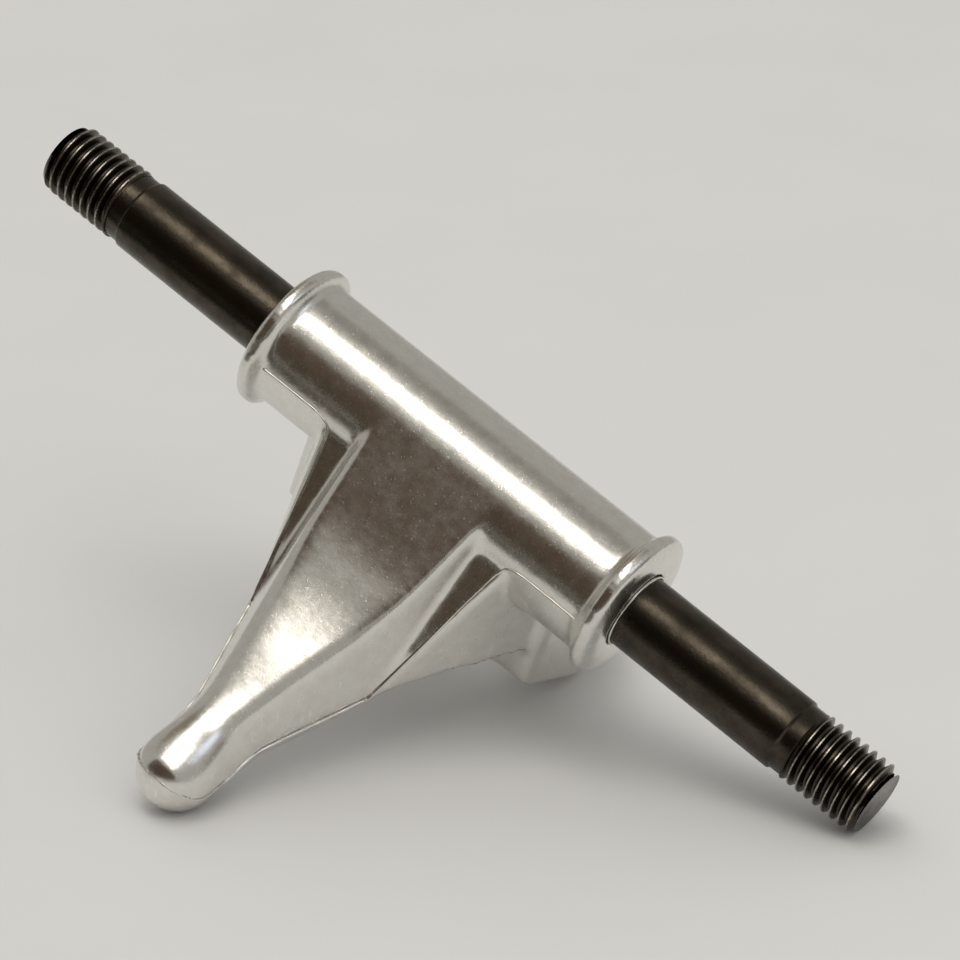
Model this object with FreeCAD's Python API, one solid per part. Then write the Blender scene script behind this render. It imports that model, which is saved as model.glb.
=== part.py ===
import FreeCAD, Part
import math
import os

V = FreeCAD.Vector
os.makedirs("parts", exist_ok=True)

# Everything is drawn with the axle's middle at the origin: X along the axle, Z the way the die
# opens, the nose toward -Y. The last step turns it to the kingpin's frame. Millimetres, degrees.

# Axle: a 5/16 inch rod, knurled where the casting holds it, a relief and a thread at both ends
ROD_D = 7.94
KNURL_RISE = 0.21
AXLE_L = 108.4
THREAD_L = 9.0
THREAD_DROP = 0.03
RELIEF_DROP = 0.24
RELIEF_L = 1.7
END_BEVEL = 0.5
END_BEVEL_L = 0.7
PRESS_GAP = 0.0

# Barrel round the axle, with a flange at both ends: cove, land, rounding, bevel, flat face
BARREL_D = 13.8
BARREL_L = 47.1
FLANGE_RISE = 1.15
FLANGE_LAND_L = 1.1
FLANGE_ROUND_L = 0.45
FLANGE_BEVEL_L = 0.4
FLANGE_BEVEL_RISE = 0.55
FLANGE_FACE_DROP = 0.6

# Raised web of the arm: three straight runs down from the barrel, seen from the side
WEB_LOWER_SLOPE = 32.0
WEB_BEND_Y = -14.4
WEB_BEND_Z = -7.22372
WEB_BEND_R = 28.0
WEB_END_Y = -23.8
WEB_END_R = 5.0
WEB_RAMP_SLOPE = 46.0
ARM_HALF_W = 10.98
ARM_TAPER = 22.8
ARM_DRAFT = 10.9
SHOULDER_R = 1.1

# Parting edge down the arm, with the shallow lower half of the casting under it
PART_Y = -15.2
PART_Z = -17.7
PART_SLOPE = 22.7
KEEL_LEAN = 24.0
KEEL_COVER = 0.3
KEEL_KNEE_Y = -17.0
KEEL_START_Y = -8.0
KEEL_EDGE_R = 1.6

# Pivot nose: a short true cylinder behind the round end, then a little taper up to the arm
NOSE_D = 8.2
NOSE_TRUE_L = 2.6
NOSE_TAPER = 1.5
NOSE_SLOPE = 17.6
NOSE_END_Y = -33.0
NOSE_END_Z = -25.0
NOSE_ROOT_Y = -27.2
NOSE_START_Y = -22.0

# Skirts and front wall under the barrel
FRONT_WALL_SLOPE = 63.4
SKIRT_HALF_W = 15.05
SKIRT_BACK_Y = -0.8
SKIRT_BACK_Z = -12.7
SKIRT_T = 2.2
FRONT_WALL_T = 2.4
CORE_INNER_X = 4.6
CORE_BACK_Y = -2.8
CORE_ROOF_Z = -8.6
CORE_R = 0.8

# Kingpin ring with its two cushion seats
RING_TILT = 23.0
RING_W = 33.2
RING_REACH = 18.5
RING_T = 8.8
RING_EDGE_R = 1.4
RING_FRONT_Y = -0.8
RING_FRONT_DRAFT = 8.0
KINGPIN_BORE_D = 14.0
SEAT_D = 25.5
SEAT_DEPTH = 1.6
INNER_SEAT_D = 23.0
INNER_SEAT_DEPTH = 1.5

FAR = 90.0
ROD_R = ROD_D / 2
BARREL_R = BARREL_D / 2
FLANGE_D = BARREL_D + 2 * FLANGE_RISE
RING_BOTTOM = BARREL_R + RING_T


def tan(angle):
    return math.tan(math.radians(angle))


def side_face(points, half_width):
    """Prism of a side view, given as (y, z) points, across the middle plane."""
    wire = Part.makePolygon([V(-half_width, y, z) for y, z in points + points[:1]])
    return Part.Face(wire).extrude(V(2 * half_width, 0, 0))


def trim(shape, point, normal):
    """Cuts away what lies beyond a plane."""
    block = Part.makeBox(2 * FAR, 2 * FAR, FAR, V(-FAR, -FAR, 0))
    block.Placement = FreeCAD.Placement(point, FreeCAD.Rotation(V(0, 0, 1), normal))
    return shape.cut(block)


def trim_sides(shape, half_width, per_y, per_z):
    """Keeps |x| < half_width + per_y * y + per_z * z."""
    for side in (-1, 1):
        shape = trim(shape, V(side * half_width, 0, 0), V(side, -per_y, -per_z))
    return shape


def web_line():
    """Top of the web in the side view: tangent to the barrel, one bend, then the end ramp."""
    bend = (WEB_BEND_Y, WEB_BEND_Z)
    touch = math.atan2(bend[1], bend[0]) - math.acos(BARREL_R / math.hypot(*bend))
    start = (BARREL_R * math.cos(touch), BARREL_R * math.sin(touch))
    end = (WEB_END_Y, bend[1] + (WEB_END_Y - bend[0]) * tan(WEB_LOWER_SLOPE))
    return start, bend, end


def nose_z(y):
    """Height of the nose's axis at y."""
    return NOSE_END_Z + (y - NOSE_END_Y) * tan(NOSE_SLOPE)


def part_z(y):
    """Height of the arm's parting edge at y."""
    return PART_Z + (y - PART_Y) * tan(PART_SLOPE)


def upper_arm():
    start, bend, end = web_line()
    foot_y = end[0] - (end[1] - nose_z(end[0])) / (tan(WEB_RAMP_SLOPE) - tan(NOSE_SLOPE))
    side = [(0.0, 0.0), start, bend, end, (foot_y, nose_z(foot_y)), (NOSE_ROOT_Y, part_z(NOSE_ROOT_Y)),
            (PART_Y, PART_Z), (SKIRT_BACK_Y, SKIRT_BACK_Z)]
    arm = side_face(side, FAR / 2)
    arm = arm.makeFillet(WEB_BEND_R, edges_at(arm, bend))
    arm = arm.makeFillet(WEB_END_R, edges_at(arm, end))
    arm = trim_sides(arm, ARM_HALF_W, tan(ARM_TAPER), -tan(ARM_DRAFT))
    return arm.makeFillet(SHOULDER_R, shoulder_edges(arm, start))


def shoulder_edges(arm, start):
    """Both long edges between the top of the web and its side facets."""
    found = []
    for e in arm.Edges:
        middle = (e.FirstParameter + e.LastParameter) / 2
        at, way = e.valueAt(middle), e.tangentAt(middle)
        if abs(way.x) < 0.9 and abs(at.x) > 0.5 and at.y < start[0] and at.z > part_z(at.y) + SHOULDER_R:
            found.append(e)
    return found


def edges_at(shape, yz):
    """Edges along X that pass through a point of the side view."""
    return [e for e in shape.Edges if len(e.Vertexes) == 2
            and all(math.hypot(v.Y - yz[0], v.Z - yz[1]) < 0.01 for v in e.Vertexes)]


def lower_arm():
    """Under the parting edge, narrowing downward, from the skirts' floor to the nose's root."""
    floor_slope = (SKIRT_BACK_Z - PART_Z) / (SKIRT_BACK_Y - PART_Y)
    tail = (KEEL_START_Y, PART_Z + (KEEL_START_Y - PART_Y) * floor_slope)
    depth = nose_r(NOSE_ROOT_Y) / math.cos(math.radians(NOSE_SLOPE)) + KEEL_COVER
    side = [(PART_Y, PART_Z), (NOSE_ROOT_Y, part_z(NOSE_ROOT_Y)),
            (NOSE_ROOT_Y + depth / 2, nose_z(NOSE_ROOT_Y + depth / 2) - depth),
            (KEEL_KNEE_Y, nose_z(KEEL_KNEE_Y) - depth), tail]
    edge_z0 = part_z(0.0)
    lean, draft = tan(KEEL_LEAN), tan(ARM_DRAFT)
    half_at_edge = ARM_HALF_W - draft * edge_z0
    per_y = tan(ARM_TAPER) - draft * tan(PART_SLOPE)
    keel = trim_sides(side_face(side, FAR / 2), half_at_edge - lean * edge_z0,
                      per_y - lean * tan(PART_SLOPE), lean)
    return keel.makeFillet(KEEL_EDGE_R, keel_edges(keel))


def keel_edges(keel):
    """Both long lower edges of the keel, back to where they run into the floor."""
    return [e for e in keel.Edges if abs(e.tangentAt(e.FirstParameter).x) < 0.9
            and abs(e.CenterOfMass.x) > 0.5 and e.CenterOfMass.z < part_z(e.CenterOfMass.y) - KEEL_EDGE_R]


def nose_r(y):
    """Radius of the tapered part of the nose where its axis is at y."""
    back = (y - NOSE_END_Y) / math.cos(math.radians(NOSE_SLOPE)) - NOSE_TRUE_L
    return NOSE_D / 2 + back * tan(NOSE_TAPER)


def nose():
    """Profile turned round the nose's axis: hemisphere, true cylinder, tapered root."""
    r, root = NOSE_D / 2, (NOSE_START_Y - NOSE_END_Y) / math.cos(math.radians(NOSE_SLOPE))
    tip = V(-r, 0, 0)
    edges = [Part.Arc(tip, V(-r * math.sqrt(0.5), 0, r * math.sqrt(0.5)), V(0, 0, r)).toShape()]
    corners = [V(0, 0, r), V(NOSE_TRUE_L, 0, r), V(root, 0, nose_r(NOSE_START_Y)), V(root, 0, 0), tip]
    edges += [Part.makeLine(a, b) for a, b in zip(corners, corners[1:])]
    body = Part.Face(Part.Wire(edges)).revolve(V(0, 0, 0), V(1, 0, 0), 360)
    turn = FreeCAD.Rotation(V(0, 0, 1), 90).multiply(FreeCAD.Rotation(V(0, 1, 0), -NOSE_SLOPE))
    body.Placement = FreeCAD.Placement(V(0, NOSE_END_Y, NOSE_END_Z), turn)
    return body


def wall_y(z):
    """Front wall's place in the side view at height z."""
    return PART_Y + (z - PART_Z) / tan(FRONT_WALL_SLOPE)


def skirt_planes(inset):
    """Half-width at y = 0 and its growth along y, for a side wall moved in by inset."""
    part_half = ARM_HALF_W + PART_Y * tan(ARM_TAPER) - PART_Z * tan(ARM_DRAFT)
    flare = (SKIRT_HALF_W - part_half) / (SKIRT_BACK_Y - PART_Y)
    return part_half - PART_Y * flare - inset * math.hypot(1, flare), flare


def skirts():
    """Front wall, floor and the two side walls that flare back to the ring."""
    side = [(0.0, 0.0), (wall_y(0.0), 0.0), (PART_Y, PART_Z), (SKIRT_BACK_Y, SKIRT_BACK_Z), (1.0, SKIRT_BACK_Z)]
    half, flare = skirt_planes(0)
    return trim_sides(side_face(side, FAR / 2), half, flare, 0.0)


def cores():
    """Two pockets from below, between the side walls and the rib in the middle."""
    inset = FRONT_WALL_T / math.sin(math.radians(FRONT_WALL_SLOPE))
    deep = 2 * PART_Z
    side = [(wall_y(CORE_ROOF_Z) + inset, CORE_ROOF_Z), (wall_y(deep) + inset, deep),
            (CORE_BACK_Y, deep), (CORE_BACK_Y, CORE_ROOF_Z)]
    half, flare = skirt_planes(SKIRT_T)
    both = trim_sides(side_face(side, FAR / 2), half, flare, 0.0)
    right = trim(both, V(CORE_INNER_X, 0, 0), V(-1, 0, 0))
    right = right.makeFillet(CORE_R, [e for e in right.Edges if abs(e.tangentAt(e.FirstParameter).z) > 0.8])
    return right.fuse(right.mirror(V(0, 0, 0), V(1, 0, 0)))


def barrel():
    """Profile of one half turned round the axle's line, then mirrored."""
    end, rim, edge = BARREL_L / 2, FLANGE_D / 2, BARREL_R + FLANGE_BEVEL_RISE
    bevel = end - FLANGE_BEVEL_L
    land = bevel - FLANGE_ROUND_L
    lip, cove, side = land - FLANGE_LAND_L, rim - BARREL_R, math.sqrt(0.5)
    edges = [Part.Arc(V(lip - cove, BARREL_R, 0), V(lip - cove + cove * side, rim - cove * side, 0),
                      V(lip, rim, 0)).toShape(),
             Part.makeLine(V(lip, rim, 0), V(land, rim, 0)),
             Part.Arc(V(land, rim, 0), V(land + FLANGE_ROUND_L * side, edge + (rim - edge) * side, 0),
                      V(bevel, edge, 0)).toShape()]
    rest = [V(bevel, edge, 0), V(end, BARREL_R - FLANGE_FACE_DROP, 0), V(end, 0, 0), V(0, 0, 0), V(0, BARREL_R, 0),
            V(lip - cove, BARREL_R, 0)]
    edges += [Part.makeLine(a, b) for a, b in zip(rest, rest[1:])]
    half = Part.Face(Part.Wire(Part.__sortEdges__(edges))).revolve(V(0, 0, 0), V(1, 0, 0), 360)
    return half.fuse(half.mirror(V(0, 0, 0), V(1, 0, 0))).removeSplitter()


def ring_point(along, up):
    """Point of the middle plane: along the ring's plate from the axle, and up its axis."""
    a = math.radians(RING_TILT)
    return V(0, along * math.cos(a) + up * math.sin(a), -along * math.sin(a) + up * math.cos(a))


def ring():
    """Flat plate hung under the barrel, round at the back, with a block up to the barrel."""
    up = ring_point(0, 1)
    half = RING_W / 2
    front = ring_point(-FLANGE_D, -RING_BOTTOM)
    corners = [front, ring_point(RING_REACH, -RING_BOTTOM), ring_point(RING_REACH, -BARREL_R),
               ring_point(BARREL_R, -BARREL_R), ring_point(BARREL_R, 0), ring_point(-FLANGE_D, 0)]
    plate = side_face([(c.y, c.z) for c in corners], half)
    plate = trim(plate, V(0, RING_FRONT_Y, front.z), V(0, -1, -tan(RING_FRONT_DRAFT)))
    plate = plate.makeFillet(RING_EDGE_R, front_edges(plate))
    return plate.fuse(Part.makeCylinder(half, RING_T, ring_point(RING_REACH, -RING_BOTTOM), up))


def front_edges(plate):
    """Edges of the plate's front face, apart from the one inside the barrel."""
    face = min(plate.Faces, key=lambda f: f.CenterOfMass.y)
    return [e for e in face.Edges if e.CenterOfMass.z < max(v.Z for v in face.Vertexes) - 0.1]


def ring_holes():
    up = ring_point(0, 1)
    below = ring_point(RING_REACH, -RING_BOTTOM - RING_T)
    bore = Part.makeCylinder(KINGPIN_BORE_D / 2, 3 * RING_T, below, up)
    seat = Part.makeCylinder(SEAT_D / 2, RING_T + SEAT_DEPTH, below, up)
    inner = Part.makeCylinder(INNER_SEAT_D / 2, 2 * RING_T,
                              ring_point(RING_REACH, -BARREL_R - INNER_SEAT_DEPTH), up)
    return bore.fuse([seat, inner])


def hanger():
    body = barrel().fuse([upper_arm(), lower_arm(), nose(), skirts(), ring()]).removeSplitter()
    body = body.cut(cores()).cut(ring_holes())
    bore = Part.makeCylinder(ROD_R + KNURL_RISE + PRESS_GAP, 2 * BARREL_L, V(-BARREL_L, 0, 0), V(1, 0, 0))
    return body.cut(bore)


def axle():
    half = AXLE_L / 2
    thread, relief, grip = half - THREAD_L, half - THREAD_L - RELIEF_L, BARREL_L / 2
    major, low = ROD_R - THREAD_DROP, ROD_R - RELIEF_DROP
    outline = [(0, 0), (0, ROD_R + KNURL_RISE), (grip, ROD_R + KNURL_RISE), (grip, ROD_R), (relief, ROD_R),
               (relief, low), (thread, low), (thread, major), (half - END_BEVEL_L, major),
               (half, major - END_BEVEL), (half, 0)]
    wire = Part.makePolygon([V(x, r, 0) for x, r in outline + outline[:1]])
    end = Part.Face(wire).revolve(V(0, 0, 0), V(1, 0, 0), 360)
    return end.fuse(end.mirror(V(0, 0, 0), V(1, 0, 0))).removeSplitter()


def to_kingpin_frame(shape):
    """Moves the kingpin bore's middle to the origin and stands its axis up."""
    top, bottom = -BARREL_R - INNER_SEAT_DEPTH, -RING_BOTTOM + SEAT_DEPTH
    shape = shape.copy()
    shape.translate(-ring_point(RING_REACH, (top + bottom) / 2))
    return shape.rotate(V(0, 0, 0), V(1, 0, 0), RING_TILT)


for name, solid in (("hanger", hanger()), ("axle", axle())):
    to_kingpin_frame(solid).exportStep("parts/%s.step" % name)
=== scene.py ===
import math

import bmesh
import bpy
import numpy as np
from mathutils import Matrix, Vector


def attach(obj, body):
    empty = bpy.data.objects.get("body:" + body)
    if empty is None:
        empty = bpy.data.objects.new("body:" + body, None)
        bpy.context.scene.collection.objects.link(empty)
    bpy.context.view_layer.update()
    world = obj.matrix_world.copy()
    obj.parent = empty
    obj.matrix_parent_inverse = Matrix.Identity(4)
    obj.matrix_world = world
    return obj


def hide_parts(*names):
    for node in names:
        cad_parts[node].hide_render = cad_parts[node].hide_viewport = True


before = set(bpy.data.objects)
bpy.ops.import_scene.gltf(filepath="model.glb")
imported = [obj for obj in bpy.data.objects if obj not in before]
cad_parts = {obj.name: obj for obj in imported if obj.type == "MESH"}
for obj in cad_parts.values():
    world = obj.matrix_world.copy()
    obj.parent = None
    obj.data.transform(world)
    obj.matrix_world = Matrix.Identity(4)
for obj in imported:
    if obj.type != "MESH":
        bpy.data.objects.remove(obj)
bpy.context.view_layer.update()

# Roller skate truck hanger, die-cast aluminium, with its black-oxide steel axle pressed through it.
# Lengths are millimetres in the kingpin's frame: the middle of the ring's bore is the origin and its
# axis +Z, the axle runs along X, and the pivot nose points to -Y and down. The studio is in metres.

MM = 0.001
BODY = "truck"

# Points nearer than this are one: in a new piece, and in the CAD casting's loose triangles
JOIN_NEW, JOIN_CAD = 0.0004, 0.001

# The axle's line, its turned radii, and how far along X its parts start
AXLE_Y, AXLE_Z = -18.5, 11.25
SHAFT_R, GRIP_R, RELIEF_R = 3.97, 4.18, 3.73
FLANGE_FACE_X, RELIEF_X, THREAD_X, AXLE_HALF = 23.55, 43.5, 45.2, 54.2

# Half of the shaft between its threads, from the thread inward: distance from the middle, and radius
SHAFT_PROFILE = [(THREAD_X, RELIEF_R), (THREAD_X - 0.1, RELIEF_R), (THREAD_X - 1.35, RELIEF_R),
                 (THREAD_X - 1.5, RELIEF_R + 0.03), (RELIEF_X + 0.02, SHAFT_R - 0.05),
                 (RELIEF_X - 0.05, SHAFT_R - 0.01), (RELIEF_X - 0.2, SHAFT_R),
                 (RELIEF_X - 4, SHAFT_R), (FLANGE_FACE_X + 4, SHAFT_R),
                 (FLANGE_FACE_X - 0.1, SHAFT_R), (FLANGE_FACE_X - 0.12, GRIP_R)]

# Thread, 5/16-24. Flat crest and root, and the root's rounding, are shares of half a pitch.
PITCH, MAJOR_R, THREAD_DEPTH = 1.0583, 3.94, 0.62
CREST, ROOT = 0.125, 0.25
ROOT_ROUND, ROOT_LIFT = 0.3, 0.06
# Share of its depth that the thread starts with, and the lengths over which it comes and goes
START_DEPTH, RUN_IN, RUN_OUT = 0.25, 0.9, 0.4
BEVEL_L, BEVEL_DROP = 0.7, 0.5
AROUND, ROWS_PER_PITCH = 96, 16
# Crests rubbed bare: how far below them it starts, the rise over which it grows to full, and how far
# past the thread's start
WEAR_BELOW, WEAR_FADE, WEAR_PAST = 0.16, 0.12, 0.3

# Rings of the end face: share of its radius, and how far it dips there, as a faced end does
END_SHARES = np.array([1.0, 0.97, 0.9, 0.6, 0.3, 0.0])
END_DIPS = np.array([0.0, 0.0, 0.02, 0.05, 0.07, 0.08])

# Aluminium pushed up round the shaft at each flange
UPSET_R, UPSET_OUT, UPSET_SIDES = 0.13, 0.03, 12

# The die's frame: the axle's middle is its origin and Z is the way the die opens. Its tilt, and the
# kingpin's origin in it.
TILT_COS, TILT_SIN = math.cos(math.radians(23.0)), math.sin(math.radians(23.0))
DIE_Y, DIE_Z = 12.634, -17.584

# Parting edge down the arm, in the die's frame: one point, and its rise toward the barrel
PART_Y, PART_Z, PART_RISE = -15.2, -17.7, 0.4185

# Crown of the arm in the die's frame, from the nose's ball up to the barrel: Y, its height as the solid
# has it, and its height as the one running curve that the casting has
CROWN = np.array([(-36.0, -22.2, -22.4), (-35.0, -21.42, -21.76), (-34.2, -21.08, -21.3),
                  (-33.0, -20.7, -20.65), (-31.5, -20.2, -19.8), (-30.0, -19.5, -18.95),
                  (-28.0, -17.45, -17.75), (-26.0, -15.4, -16.3), (-24.0, -13.35, -14.8),
                  (-22.0, -12.0, -13.3), (-20.0, -10.75, -11.8), (-18.5, -9.8, -10.6),
                  (-17.0, -8.85, -9.4), (-15.5, -7.75, -8.0), (-14.0, -6.4, -6.5),
                  (-12.5, -4.75, -4.75), (-10.0, -1.6, -1.6)])

# Work on the casting's net. Each pair is where it fades: by -Y past the barrel, by Y at the nose, and
# by height over the parting edge.
CROWN_IN, CROWN_OUT, CROWN_OVER = (10.5, 13.0), (-36.4, -35.6), 0.2
ARM_IN, ARM_OUT = (5.0, 8.0), (-33.0, -30.0)
TOP_IN, TOP_OUT, TOP_OVER = (13.0, 19.0), (-33.5, -29.5), (-0.5, 1.5)

# The net's step, how far a point goes toward its neighbours' mean each time, and how many times it
# does so everywhere, on the arm, and on the arm's top
NET_STEP = 0.34
RELAX = 0.5
TIMES_ALL, TIMES_ARM, TIMES_TOP = 3, 10, 70

# Parting line of the die: from a flange along the barrel, round the inner corner, down the arm's edge
# and round the nose. Half of it; the other half is its mirror image.
PARTING = [(20.9, -24.93, 8.52), (18.5, -24.86, 8.55), (16.0, -24.85, 8.55), (13.5, -24.83, 8.5),
           (11.95, -24.62, 8.0), (11.4, -24.52, 7.0), (11.15, -24.5, 6.16), (10.3, -24.76, 1.92),
           (9.3, -25.13, -3.89), (8.25, -25.5, -9.6), (8.0, -25.6, -10.98), (7.7, -26.2, -11.6),
           (7.05, -27.69, -13.15), (6.03, -29.96, -15.48), (5.01, -32.24, -17.8), (4.2, -34.4, -20.05),
           (4.15, -36.4, -22.35), (4.12, -38.0, -23.75), (4.05, -39.55, -24.85), (3.72, -40.65, -25.2),
           (3.22, -41.5, -25.28), (2.48, -42.2, -25.35), (1.3, -42.8, -25.3), (0.0, -42.98, -25.17)]
BEAD_R, BEAD_SIDES, BEAD_STEPS = 0.13, 8, 8
# How much larger it is round the nose, and where by -Y that fades in
BEAD_NOSE, BEAD_NOSE_IN = 0.3, (39.0, 41.0)

# Where it lies: the floor touches the nose, the right axle end and the ring's lower rim
FLOOR_UP = Vector((-0.4552, -0.3045, 0.8367)).normalized()
FLOOR_DROP = 12.83
FLOOR_SIZE = 6.0

# Camera at the photograph's angle
CAMERA_AT = (134.9, -434.211, 130.933)
CAMERA_RIGHT = (0.746886, 0.391674, 0.537357)
CAMERA_DOWN = (0.597204, -0.039739, -0.801104)
CAMERA_LENS, CAMERA_SENSOR = 170.14, 36.0
CAMERA_CLIP = (0.01, 20.0)

# Lamps: name, direction, distance, width, height, watts, colour. The key's reflection is the long light
# on the barrel. The fills light the paper and aren't reflected.
KEY_LAMP = ("key_softbox", (-0.30, -0.600, 0.742), 1.2, 1.17, 0.42, 4.2, "#FFF9F0")
FILL_LAMPS = [("overhead_fill", FLOOR_UP, 1.3, 1.3, 1.3, 3.45, "#FFFFFF"),
              ("left_fill", (-1.0, 0.3, 0.35), 1.3, 1.3, 1.3, 4.8, "#FFFFFF"),
              ("right_fill", (0.5, -0.75, 0.75), 1.3, 1.3, 1.3, 6.0, "#FFFFFF"),
              ("back_fill", (0.1, 0.8, 0.8), 1.3, 1.3, 1.3, 2.0, "#FFFFFF")]

# Cards that the metal reflects: name, direction, distance, width, height, colour, strength
CARDS = [("warm_upper_card", (-0.2, -0.96, 0.10), 1.3, 2.4, 0.72, "#4E4035", 1.0),
         ("dark_lower_card", (-0.2, -0.92, -0.36), 1.25, 2.4, 0.62, "#463D32", 1.0),
         ("left_room_card", (-0.84, 0.08, 0.52), 1.2, 0.75, 0.62, "#81786A", 1.0),
         ("ceiling_card", (-0.29, 0.0, 0.957), 1.25, 0.52, 0.62, "#8C8881", 1.0),
         ("right_dark_card", (0.75, 0.02, 0.66), 1.2, 0.5, 0.36, "#6C6964", 1.0),
         ("cool_window_card", (0.36, -0.42, 0.83), 1.2, 0.40, 0.34, "#E4ECFF", 1.5)]

# Dark table past the paper's near edge: the middle of its edge nearer the truck, and its size
TABLE_EDGE = Vector((0.0, -0.085, -0.0451))
TABLE_WIDTH, TABLE_DEPTH = 0.9, 0.5
TABLE_COLOUR = "#4A443A"
ROOM_COLOUR = "#A9A7A1"

# Sockets of a Mix node set to colour: its two inputs, and its output
MIX_A, MIX_B, MIXED = 6, 7, 2


def linear(code):
    """sRGB hex code to the linear colour that a shader takes."""
    parts = [int(code[i:i + 2], 16) / 255 for i in (1, 3, 5)]
    return tuple(p / 12.92 if p <= 0.04045 else ((p + 0.055) / 1.055) ** 2.4 for p in parts) + (1.0,)


def add(tree, kind, inputs=(), **settings):
    """Adds one node: settings are its properties, inputs its sockets, a value or another's output."""
    made = tree.nodes.new("ShaderNode" + kind)
    for name, value in settings.items():
        setattr(made, name, value)
    for key, value in dict(inputs).items():
        if isinstance(value, bpy.types.NodeSocket):
            tree.links.new(value, made.inputs[key])
        else:
            made.inputs[key].default_value = value
    return made


def new_material(name):
    """An empty material, and its tree of nodes."""
    made = bpy.data.materials.new(name)
    made.use_nodes = True
    made.node_tree.nodes.clear()
    return made, made.node_tree


def per_mm(size):
    """Noise scale, on Object coordinates in metres, that gives features of about this size."""
    return 1.0 / (size * MM)


def metal_surface(tree, colour, rough, reliefs):
    """Ends a metal's tree: reliefs laid one on the other, each a height and its depth, then the metal
    with its colour and roughness."""
    normal = {}
    for height, depth in reliefs:
        relief = add(tree, "Bump", {"Height": height, "Strength": 1.0, "Distance": depth * MM, **normal})
        normal = {"Normal": relief.outputs[0]}
    metal = add(tree, "BsdfPrincipled", {"Base Color": colour, "Metallic": 1.0, "Roughness": rough,
                                         **normal})
    add(tree, "OutputMaterial", {"Surface": metal.outputs[0]})


def cast_aluminium():
    """Die-cast aluminium, vibratory polished after trimming: bright, soft-edged reflections that
    waver with the cast skin, a fine satin grain, and short random nicks from the tumbling stones."""
    made, tree = new_material("cast_aluminium_tumbled")
    at = add(tree, "TexCoord").outputs["Object"]
    skin = add(tree, "TexNoise", {"Vector": at, "Scale": per_mm(5.0), "Detail": 3.0,
                                  "Roughness": 0.55}).outputs["Fac"]
    grain = add(tree, "TexNoise", {"Vector": at, "Scale": per_mm(0.35), "Detail": 4.0,
                                   "Roughness": 0.7}).outputs["Fac"]
    mottle = add(tree, "TexNoise", {"Vector": at, "Scale": per_mm(1.3), "Detail": 5.0,
                                    "Roughness": 0.65}).outputs["Fac"]

    # Nicks about 0.3 mm wide and seven times as long, lying three ways
    ways = []
    for turn, width in (((0.3, 0.9, 0.4), 0.30), ((1.2, -0.5, 1.9), 0.36), ((-0.8, 0.2, -1.1), 0.26)):
        run = add(tree, "Mapping", {"Vector": at, "Rotation": turn, "Scale": (1.0, 7.0, 1.0)},
                  vector_type="TEXTURE")
        nick = add(tree, "TexNoise", {"Vector": run.outputs[0], "Scale": per_mm(width), "Detail": 1.0})
        ways.append(add(tree, "MapRange", {"Value": nick.outputs["Fac"],
                                           "From Min": 0.70, "From Max": 0.79}).outputs[0])
    nicks = add(tree, "Math", {0: ways[0], 1: ways[1]}, operation="MAXIMUM").outputs[0]
    nicks = add(tree, "Math", {0: nicks, 1: ways[2]}, operation="MAXIMUM").outputs[0]

    tone = add(tree, "MapRange", {"Value": mottle, "From Min": 0.35, "From Max": 0.65}).outputs[0]
    colour = add(tree, "Mix", {0: tone, MIX_A: linear("#E0DDD7"), MIX_B: linear("#E9E7E2")},
                 data_type="RGBA").outputs[MIXED]
    colour = add(tree, "Mix", {0: nicks, MIX_A: colour, MIX_B: linear("#F2F1EE")},
                 data_type="RGBA").outputs[MIXED]
    rough = add(tree, "MapRange", {"Value": mottle, "From Min": 0.3, "From Max": 0.7,
                                   "To Min": 0.21, "To Max": 0.27}).outputs[0]
    rough = add(tree, "Math", {0: nicks, 1: 0.06, 2: rough}, operation="MULTIPLY_ADD").outputs[0]
    metal_surface(tree, colour, rough, [(skin, 0.06), (mottle, 0.007), (grain, 0.006), (nicks, 0.004)])
    return made


def black_oxide_steel():
    """Turned steel with an oiled black-oxide finish: near black with a warm sheen, faint lathe marks
    round the shaft, patchy oil, and bare bright metal where the thread crests have rubbed."""
    made, tree = new_material("black_oxide_steel_oiled")
    at = add(tree, "TexCoord").outputs["Object"]
    oil = add(tree, "TexNoise", {"Vector": at, "Scale": per_mm(3.5), "Detail": 5.0,
                                 "Roughness": 0.65}).outputs["Fac"]
    speck = add(tree, "TexNoise", {"Vector": at, "Scale": per_mm(0.35), "Detail": 3.0,
                                   "Roughness": 0.7}).outputs["Fac"]
    # Lathe marks: rings 0.12 mm apart, drawn at 0.3 mm so that they show
    turned = add(tree, "Mapping", {"Vector": at, "Scale": (1.0, 0.02, 0.02)}).outputs[0]
    lathe = add(tree, "TexNoise", {"Vector": turned, "Scale": per_mm(0.3), "Detail": 2.0}).outputs["Fac"]
    wear = add(tree, "Attribute", attribute_name="crest_wear").outputs["Fac"]

    patch = add(tree, "MapRange", {"Value": oil, "From Min": 0.35, "From Max": 0.7}).outputs[0]
    colour = add(tree, "Mix", {0: patch, MIX_A: linear("#39342D"), MIX_B: linear("#544D44")},
                 data_type="RGBA").outputs[MIXED]
    rubbed = add(tree, "Math", {0: wear, 1: speck}, operation="MULTIPLY").outputs[0]
    rubbed = add(tree, "MapRange", {"Value": rubbed, "From Min": 0.2, "From Max": 0.6,
                                    "To Max": 0.95}).outputs[0]
    colour = add(tree, "Mix", {0: rubbed, MIX_A: colour, MIX_B: linear("#B8B0A6")},
                 data_type="RGBA").outputs[MIXED]
    rough = add(tree, "MapRange", {"Value": oil, "From Min": 0.3, "From Max": 0.7,
                                   "To Min": 0.34, "To Max": 0.21}).outputs[0]
    metal_surface(tree, colour, rough, [(lathe, 0.006), (speck, 0.022)])
    return made


def place_piece(name, mesh, material):
    """Makes a finished mesh a piece that rides on the truck."""
    mesh.materials.clear()
    mesh.materials.append(material)
    piece = bpy.data.objects.new(name, mesh)
    bpy.context.scene.collection.objects.link(piece)
    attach(piece, BODY)
    return piece


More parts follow.
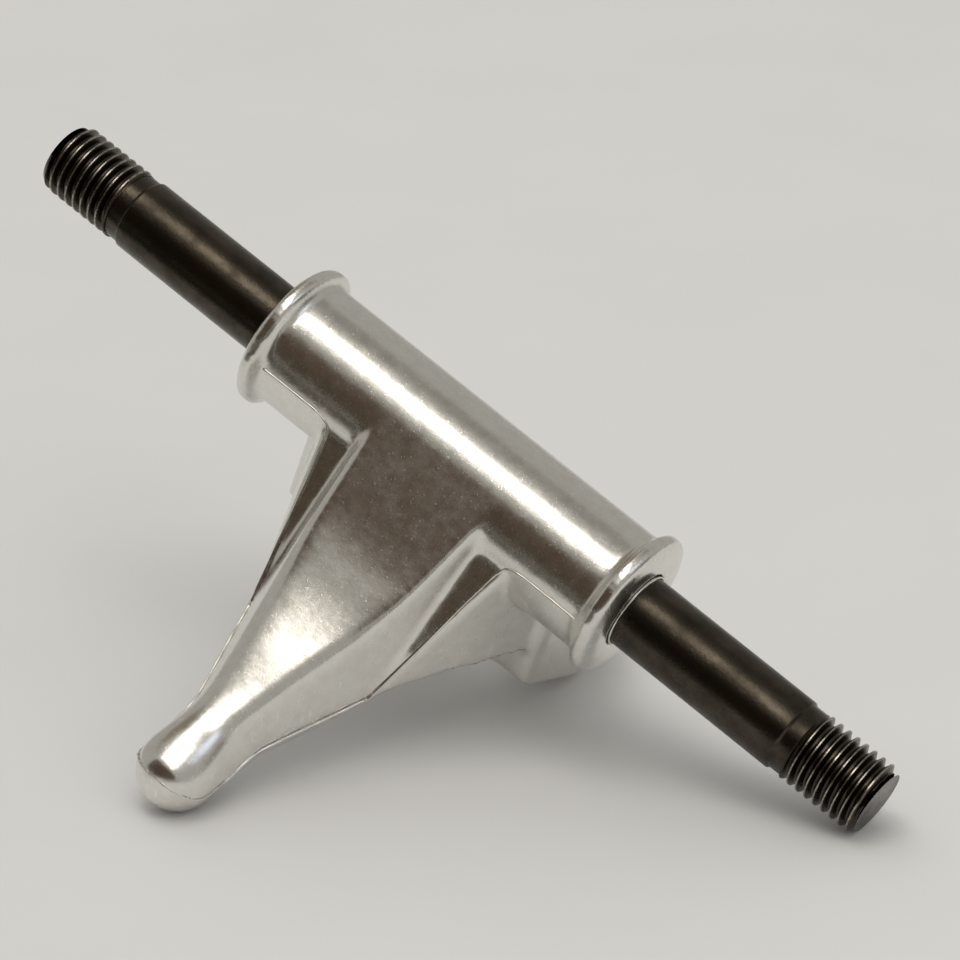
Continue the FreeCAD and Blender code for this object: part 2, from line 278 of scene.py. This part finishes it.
def grid_faces(rows, cols):
    """Quads of a grid whose points run row by row."""
    i, j = np.meshgrid(np.arange(rows - 1), np.arange(cols - 1), indexing="ij")
    a = (i * cols + j).ravel()
    return np.stack([a, a + 1, a + cols + 1, a + cols], axis=1)


def make_piece(name, grids, material, sharp=35.0):
    """One piece from grids of points (rows, columns, xyz), joined where they meet."""
    points, faces, start = [], [], 0
    for grid in grids:
        rows, cols = grid.shape[:2]
        points.append(grid.reshape(-1, 3) * MM)
        faces.append(grid_faces(rows, cols) + start)
        start += rows * cols
    mesh = bpy.data.meshes.new(name)
    mesh.from_pydata(np.concatenate(points).tolist(), [], np.concatenate(faces).tolist())
    work = bmesh.new()
    work.from_mesh(mesh)
    bmesh.ops.remove_doubles(work, verts=work.verts, dist=JOIN_NEW * MM)
    bmesh.ops.recalc_face_normals(work, faces=work.faces)
    work.to_mesh(mesh)
    work.free()
    mesh.shade_smooth()
    mesh.set_sharp_from_angle(angle=math.radians(sharp))
    return place_piece(name, mesh, material)


def die_frame(at):
    """Kingpin's frame to the die's frame: a turn about X, then a move."""
    x, y, z = at.T
    return np.stack([x, y * TILT_COS + z * TILT_SIN + DIE_Y, z * TILT_COS - y * TILT_SIN + DIE_Z], axis=1)


def kingpin_frame(at):
    """The die's frame back to the kingpin's frame."""
    x, y, z = at[:, 0], at[:, 1] - DIE_Y, at[:, 2] - DIE_Z
    return np.stack([x, y * TILT_COS - z * TILT_SIN, y * TILT_SIN + z * TILT_COS], axis=1)


def ease(value, start, end):
    """0 before start, 1 after end, and smooth between."""
    t = np.clip((value - start) / (end - start), 0, 1)
    return t * t * (3 - 2 * t)


def casting_net():
    """The CAD casting's surface as an even net of small quads."""
    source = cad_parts["hanger"].data.copy()
    work = bmesh.new()
    work.from_mesh(source)
    bmesh.ops.remove_doubles(work, verts=work.verts, dist=JOIN_CAD * MM)
    work.to_mesh(source)
    work.free()
    carrier = bpy.data.objects.new("casting_net", source)
    bpy.context.scene.collection.objects.link(carrier)
    net = carrier.modifiers.new("net", "REMESH")
    net.mode, net.voxel_size = "VOXEL", NET_STEP * MM
    mesh = bpy.data.meshes.new_from_object(carrier.evaluated_get(bpy.context.evaluated_depsgraph_get()))
    bpy.data.objects.remove(carrier)
    return mesh


def relaxed(at, mesh, weight, times):
    """Draws each point toward the mean of its neighbours, by its weight, a number of times."""
    ends = np.empty(len(mesh.edges) * 2, dtype=np.int64)
    mesh.edges.foreach_get("vertices", ends)
    a, b = ends.reshape(-1, 2).T
    count = len(at)
    near = np.maximum(np.bincount(a, minlength=count) + np.bincount(b, minlength=count), 1)
    for _ in range(times):
        mean = np.stack([(np.bincount(a, at[b, k], count) + np.bincount(b, at[a, k], count)) / near
                         for k in range(3)], axis=1)
        at = at + (mean - at) * weight[:, None]
    return at


def casting_piece(material):
    """The casting with its edges and valleys softened, as the metal and the tumbling leave them. The
    arm's crown moves from its height in the solid to one running curve, by a share that grows from
    none at the parting edge to all at the crown. Then the net is relaxed, most on the arm's top."""
    mesh = casting_net()
    at = np.empty(len(mesh.vertices) * 3)
    mesh.vertices.foreach_get("co", at)
    at = die_frame(at.reshape(-1, 3) / MM)

    y = at[:, 1].copy()
    part = PART_Z + (y - PART_Y) * PART_RISE
    crown_y, solid_z, curve_z = CROWN.T
    was, now = np.interp(y, crown_y, solid_z), np.interp(y, crown_y, curve_z)
    share = ease(at[:, 2], part + CROWN_OVER, was)
    at[:, 2] += (now - was) * share * (ease(-y, *CROWN_IN) * ease(y, *CROWN_OUT))

    everywhere = np.ones(len(at))
    arm = ease(-y, *ARM_IN) * ease(y, *ARM_OUT)
    over = ease(at[:, 2], part + TOP_OVER[0], part + TOP_OVER[1])
    top = ease(-y, *TOP_IN) * ease(y, *TOP_OUT) * over
    for where, times in ((everywhere, TIMES_ALL), (arm, TIMES_ARM), (top, TIMES_TOP)):
        at = relaxed(at, mesh, RELAX * where, times)

    mesh.vertices.foreach_set("co", (kingpin_frame(at) * MM).ravel())
    mesh.update()
    mesh.name = "hanger_casting"
    mesh.shade_smooth()
    piece = place_piece("hanger_casting", mesh, material)
    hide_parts("hanger")


def around_axle(x, r, angle):
    """Points at x, radius r and angle round the axle's line, angle 0 toward +Y and 90 toward +Z."""
    x, r, angle = np.broadcast_arrays(x, r, angle)
    return np.stack([x, AXLE_Y + r * np.cos(angle), AXLE_Z + r * np.sin(angle)], axis=-1)


def other_end(points):
    """Half a turn about the line along Z through the axle's middle: the same end on the other side."""
    centre = np.array([0.0, AXLE_Y, AXLE_Z])
    return (points - centre) * (-1.0, -1.0, 1.0) + centre


def thread_radius(x, angle):
    """Radius of a right-hand 60 degree thread: distance along a pitch, less the turned share of a
    pitch, gives the place in the tooth, 0 in the root's middle and 1 in the crest's. Flat crest an
    eighth wide, flanks, rounded root a quarter wide. The depth grows over the run-in and goes over
    the run-out, and the end bevel cuts across."""
    place = np.abs(2 * np.mod(x / PITCH - angle / (2 * np.pi), 1.0) - 1)
    down = 1 - np.clip((place - ROOT) / (1 - ROOT - CREST), 0, 1)
    root = np.clip(1 - place / ROOT_ROUND, 0, 1)
    down = down + ROOT_LIFT * root * root * (3 - 2 * root)
    come = np.clip((x - THREAD_X) / RUN_IN + START_DEPTH, 0, 1)
    go = np.clip((AXLE_HALF - x) / RUN_OUT, 0, 1)
    radius = MAJOR_R - THREAD_DEPTH * down * (come * go)
    past_bevel = np.clip(x - (AXLE_HALF - BEVEL_L), 0, None)
    return np.minimum(radius, MAJOR_R - BEVEL_DROP / BEVEL_L * past_bevel)


def axle_piece(material):
    """Plain shaft as rings of a turned profile; each thread as a grid whose rows follow the helix,
    each row a pitch further on after a turn; the end face as rings that close on the middle."""
    angle = np.linspace(0, 2 * np.pi, AROUND + 1)
    rows = np.arange(-ROWS_PER_PITCH, math.ceil((AXLE_HALF - THREAD_X) / PITCH * ROWS_PER_PITCH) + 1)
    x = THREAD_X + rows[:, None] * PITCH / ROWS_PER_PITCH + PITCH * angle[None, :] / (2 * np.pi)
    # Rows start on a crest, so that the crest's edges and the root lie on rows
    x = x + PITCH * (np.ceil(THREAD_X / PITCH) - THREAD_X / PITCH) - PITCH
    x = np.clip(x, THREAD_X, AXLE_HALF)
    thread = around_axle(x, thread_radius(x, angle), angle)
    face = around_axle(AXLE_HALF - END_DIPS[:, None],
                       thread_radius(AXLE_HALF, angle) * END_SHARES[:, None], angle)

    along = np.array([[-x, r] for x, r in SHAFT_PROFILE] + [[x, r] for x, r in reversed(SHAFT_PROFILE)])
    shaft = around_axle(along[:, :1], np.repeat(along[:, 1:], AROUND + 1, axis=1), angle)
    joint = around_axle(THREAD_X, thread_radius(THREAD_X, angle), angle)
    # The other thread's first row runs the other way round, so it is put in the shaft's order
    order = np.argsort(np.mod(np.pi - angle[:-1], 2 * np.pi), kind="stable")
    other_joint = other_end(joint)[:-1][order]
    shaft = np.concatenate([[np.concatenate([other_joint, other_joint[:1]])], shaft, [joint]])

    grids = [thread, face, other_end(thread), other_end(face), shaft]
    piece = make_piece("axle_threaded", grids, material, sharp=30.0)
    mesh = piece.data
    at = np.empty(len(mesh.vertices) * 3, dtype=np.float32)
    mesh.vertices.foreach_get("co", at)
    at = at.reshape(-1, 3) / MM
    r = np.hypot(at[:, 1] - AXLE_Y, at[:, 2] - AXLE_Z)
    worn = np.clip((r - (MAJOR_R - WEAR_BELOW)) / WEAR_FADE, 0, 1)
    worn = worn * (np.abs(at[:, 0]) > THREAD_X + WEAR_PAST)
    wear = mesh.attributes.new("crest_wear", "FLOAT", "POINT")
    wear.data.foreach_set("value", worn.astype(np.float32))
    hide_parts("axle")


def upset_ring(name, side, material):
    """Ring of aluminium pushed up round the shaft at the flange: a small circle carried round the
    axle, its size and place wavering with a few sines of the angle."""
    angle = np.linspace(0, 2 * np.pi, 2 * AROUND + 1)[:, None]
    section = np.linspace(0, 2 * np.pi, UPSET_SIDES + 1)[None, :]
    size = (UPSET_R + 0.03 * np.sin(3 * angle + side) + 0.02 * np.sin(7 * angle + 1.0)
            + 0.012 * np.sin(17 * angle))
    middle = SHAFT_R + UPSET_R + 0.02 * np.sin(5 * angle + 2.0 * side)
    grid = around_axle(side * (FLANGE_FACE_X + UPSET_OUT + size * np.cos(section)),
                       middle + size * np.sin(section), angle)
    make_piece(name, [grid], material)


def parting_bead(material):
    """Fine ridge that the die leaves: a small circle carried along the line, which is a smooth curve
    through its points (each span a cubic whose end slopes come from the neighbouring points). The
    circle wavers with two sines of the steps along the line, and is larger round the nose."""
    half = np.array(PARTING)
    line = np.concatenate([half * (-1, 1, 1), half[-2::-1]])
    before, after = line[:-1], line[1:]
    slope = np.gradient(line, axis=0)
    t = np.linspace(0, 1, BEAD_STEPS + 1)[:-1][None, :, None]
    spans = ((2 * t ** 3 - 3 * t ** 2 + 1) * before[:, None]
             + (t ** 3 - 2 * t ** 2 + t) * slope[:-1, None]
             + (3 * t ** 2 - 2 * t ** 3) * after[:, None]
             + (t ** 3 - t ** 2) * slope[1:, None])
    path = np.concatenate([spans.reshape(-1, 3), line[-1:]])
    way = np.gradient(path, axis=0)
    way /= np.linalg.norm(way, axis=1, keepdims=True)
    side = np.cross(way, (0.0, 1.0, 0.0))
    side /= np.linalg.norm(side, axis=1, keepdims=True)
    lift = np.cross(side, way)
    step = np.arange(len(path))
    size = BEAD_R * (1 + 0.15 * np.sin(step * 0.9) + 0.12 * np.sin(step * 0.37 + 1.0))
    size *= 1 + BEAD_NOSE * ease(-path[:, 1], *BEAD_NOSE_IN)
    size[[0, -1]] = 0.0
    section = np.linspace(0, 2 * np.pi, BEAD_SIDES + 1)[None, :, None]
    grid = path[:, None] + size[:, None, None] * (np.cos(section) * side[:, None]
                                                  + np.sin(section) * lift[:, None])
    make_piece("parting_bead", [grid], material, sharp=60.0)


def paper_sweep():
    """Matte white paper sweep: pale, faintly uneven. Seen from below it lets the camera through, so
    that the side the truck lies on can be looked at."""
    made, tree = new_material("paper_sweep")
    at = add(tree, "TexCoord").outputs["Object"]
    fibre = add(tree, "TexNoise", {"Vector": at, "Scale": per_mm(25.0), "Detail": 3.0}).outputs["Fac"]
    colour = add(tree, "Mix", {0: fibre, MIX_A: linear("#C8C8C7"), MIX_B: linear("#CDCDCC")},
                 data_type="RGBA").outputs[MIXED]
    paper = add(tree, "BsdfDiffuse", {"Color": colour})
    clear = add(tree, "BsdfTransparent")
    under = add(tree, "Math", {0: add(tree, "NewGeometry").outputs["Backfacing"],
                               1: add(tree, "LightPath").outputs["Is Camera Ray"]}, operation="MULTIPLY")
    both = add(tree, "MixShader", {0: under.outputs[0], 1: paper.outputs[0], 2: clear.outputs[0]})
    add(tree, "OutputMaterial", {"Surface": both.outputs[0]})
    return made


def rectangle(middle, direction, width, height):
    """Corners of a rectangle whose face looks along a direction."""
    turn = Vector(direction).to_track_quat("Z", "Y")
    return [Vector(middle) + turn @ Vector((x * width / 2, y * height / 2, 0))
            for x, y in ((-1, -1), (1, -1), (1, 1), (-1, 1))]


def stage_sheet(name, corners, material):
    """A flat four-cornered sheet of the studio."""
    mesh = bpy.data.meshes.new(name)
    mesh.from_pydata(corners, [], [(0, 1, 2, 3)])
    mesh.materials.append(material)
    made = bpy.data.objects.new(name, mesh)
    bpy.context.scene.collection.objects.link(made)
    return made


def reflected_sheet(name, corners, code, strength=1.0):
    """An evenly glowing sheet that the metal reflects, and that neither camera nor paper sees."""
    made, tree = new_material(name)
    glow = add(tree, "Emission", {"Color": linear(code), "Strength": strength})
    add(tree, "OutputMaterial", {"Surface": glow.outputs[0]})
    sheet = stage_sheet(name, corners, made)
    sheet.visible_camera = False
    sheet.visible_shadow = False
    sheet.visible_diffuse = False


def card(name, toward, distance, width, height, code, strength):
    """A studio card that faces the truck from a direction."""
    toward = Vector(toward).normalized()
    reflected_sheet(name, rectangle(toward * distance, -toward, width, height), code, strength)


def dark_table():
    """The dark table, parallel to the paper, as the metal reflects it."""
    ahead = Vector((1.0, 0.0, 0.0)).cross(FLOOR_UP).normalized()
    across = ahead.cross(FLOOR_UP).normalized()
    corners = [TABLE_EDGE + across * (w * TABLE_WIDTH / 2) + ahead * (d * TABLE_DEPTH)
               for w, d in ((-1, 0), (1, 0), (1, 1), (-1, 1))]
    reflected_sheet("dark_table", corners, TABLE_COLOUR)


def softbox(name, toward, distance, width, height, watts, code):
    """A rectangular lamp that shines on the truck from a direction."""
    toward = Vector(toward).normalized()
    lamp = bpy.data.lights.new(name, "AREA")
    lamp.shape, lamp.size, lamp.size_y = "RECTANGLE", width, height
    lamp.energy, lamp.color = watts, linear(code)[:3]
    made = bpy.data.objects.new(name, lamp)
    made.location = toward * distance
    made.rotation_mode = "QUATERNION"
    made.rotation_quaternion = toward.to_track_quat("Z", "Y")
    bpy.context.scene.collection.objects.link(made)
    return made


def photo_camera():
    """Camera placed by its position and the picture's right and down directions."""
    lens = bpy.data.cameras.new("photo_camera")
    lens.lens, lens.sensor_width = CAMERA_LENS, CAMERA_SENSOR
    lens.clip_start, lens.clip_end = CAMERA_CLIP
    camera = bpy.data.objects.new("photo_camera", lens)
    right, down = Vector(CAMERA_RIGHT), Vector(CAMERA_DOWN)
    turn = Matrix((right, -down, -right.cross(down))).transposed().to_4x4()
    camera.matrix_world = Matrix.Translation(Vector(CAMERA_AT) * MM) @ turn
    bpy.context.scene.collection.objects.link(camera)
    bpy.context.scene.camera = camera


def pale_room():
    """Even light from all round, which the metal reflects where no card or lamp is."""
    world = bpy.data.worlds.new("pale_room")
    bpy.context.scene.world = world
    world.use_nodes = True
    tree = world.node_tree
    tree.nodes.clear()
    room = add(tree, "Background", {"Color": linear(ROOM_COLOUR), "Strength": 1.0})
    add(tree, "OutputWorld", {"Surface": room.outputs[0]})


def studio():
    """Camera, paper, lamps, cards and room."""
    photo_camera()
    corners = rectangle(-FLOOR_UP * FLOOR_DROP * MM, FLOOR_UP, FLOOR_SIZE, FLOOR_SIZE)
    stage_sheet("paper_floor", corners, paper_sweep())
    softbox(*KEY_LAMP)
    for lamp in FILL_LAMPS:
        softbox(*lamp).visible_glossy = False
    for details in CARDS:
        card(*details)
    dark_table()
    pale_room()
    bpy.context.scene.view_settings.view_transform = "Standard"


aluminium = cast_aluminium()
steel = black_oxide_steel()
casting_piece(aluminium)
axle_piece(steel)
upset_ring("upset_ring_left", -1, aluminium)
upset_ring("upset_ring_right", 1, aluminium)
parting_bead(aluminium)
studio()
